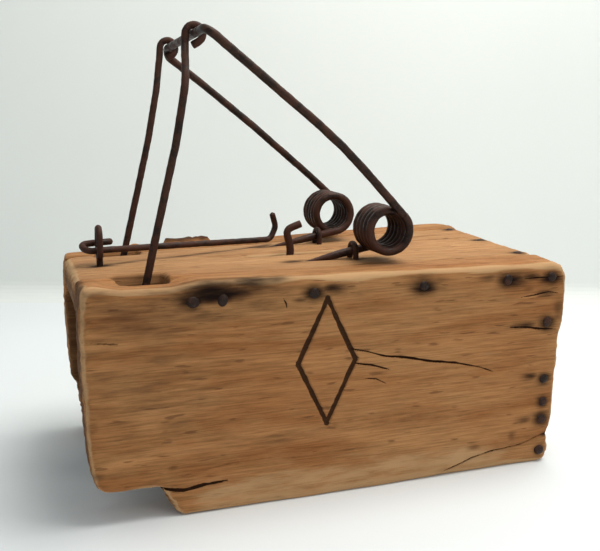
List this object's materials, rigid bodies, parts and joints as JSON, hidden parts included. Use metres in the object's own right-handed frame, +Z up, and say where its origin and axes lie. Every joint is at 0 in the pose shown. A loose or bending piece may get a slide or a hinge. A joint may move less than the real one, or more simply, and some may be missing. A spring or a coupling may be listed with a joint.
{
  "type": "box choker mouse trap",
  "caption": "Wooden box runway trap: a sprung wire bail lifts a choker loop through slots in the roof, held by a latch arm and a baited trigger.",
  "frame": {"origin": "middle of the box at its base, under the middle of the bounding box", "axes": "+X along the box to its closed end, +Y to the back, +Z up"},
  "size_m": [0.165, 0.0914, 0.1549],
  "materials": {
    "side_wood": "weathered, matt",
    "top_wood": "worn, matt",
    "end_wood": "weathered end grain, matt",
    "nail_steel": "rusted, matt",
    "spring_wire": "dark rust, satin",
    "choker_wire": "dark rust, satin",
    "latch_wire": "dark rust, satin",
    "staple_wire": "rusted, matt"
  },
  "bodies": {
    "box": {"front_side_board": "side_wood", "back_side_board": "side_wood", "top_board": "top_wood", "end_board": "end_wood", "front_top_nails": "nail_steel", "front_end_nails": "nail_steel", "back_top_nails": "nail_steel", "back_end_nails": "nail_steel", "top_end_nails": "nail_steel", "front_coil": "spring_wire", "back_coil": "spring_wire", "front_leg_staple": "staple_wire", "back_leg_staple": "staple_wire", "trigger_axle": "staple_wire", "axle_staples": "staple_wire"},
    "bail": {"spring_bail": "spring_wire"},
    "choker": {"choker": "choker_wire"},
    "latch_pin": {"latch_eye_pin": "latch_wire"},
    "latch": {"latch_arm": "latch_wire"},
    "trigger": {"trigger_wire": "latch_wire"}
  },
  "joints": [
    {"name": "bail_press", "type": "hinge", "parent": "box", "child": "bail", "pos_m": [0.022, 0, 0.0866], "axis": [0, -1, 0], "range_deg": [0, 40], "stiffness_Nm_per_rad": 1, "springref_deg": -20.05, "deforming": ["front_coil", "back_coil"]},
    {"name": "choker_hang", "type": "hinge", "parent": "bail", "child": "choker", "pos_m": [-0.0409, 0, 0.1504], "axis": [0, -0.9996, 0.0279], "range_deg": [-25.44, 0]},
    {"name": "latch_swing", "type": "hinge", "parent": "box", "child": "latch_pin", "pos_m": [-0.0721, -0.002, 0.0756], "axis": [0, 0, 1], "range_deg": [-13, 30]},
    {"name": "latch_lift", "type": "hinge", "parent": "latch_pin", "child": "latch", "pos_m": [-0.0721, -0.002, 0.0807], "axis": [0.342, -0.9397, 0], "range_deg": [0, 25]},
    {"name": "trigger_swing", "type": "hinge", "parent": "box", "child": "trigger", "pos_m": [-0.0025, 0, 0.0626], "axis": [0, 1, 0], "range_deg": [-8, 8]}
  ],
  "couplings": [
    {"joint": "choker_hang", "follows": "bail_press", "ratio": -0.636}
  ]
}
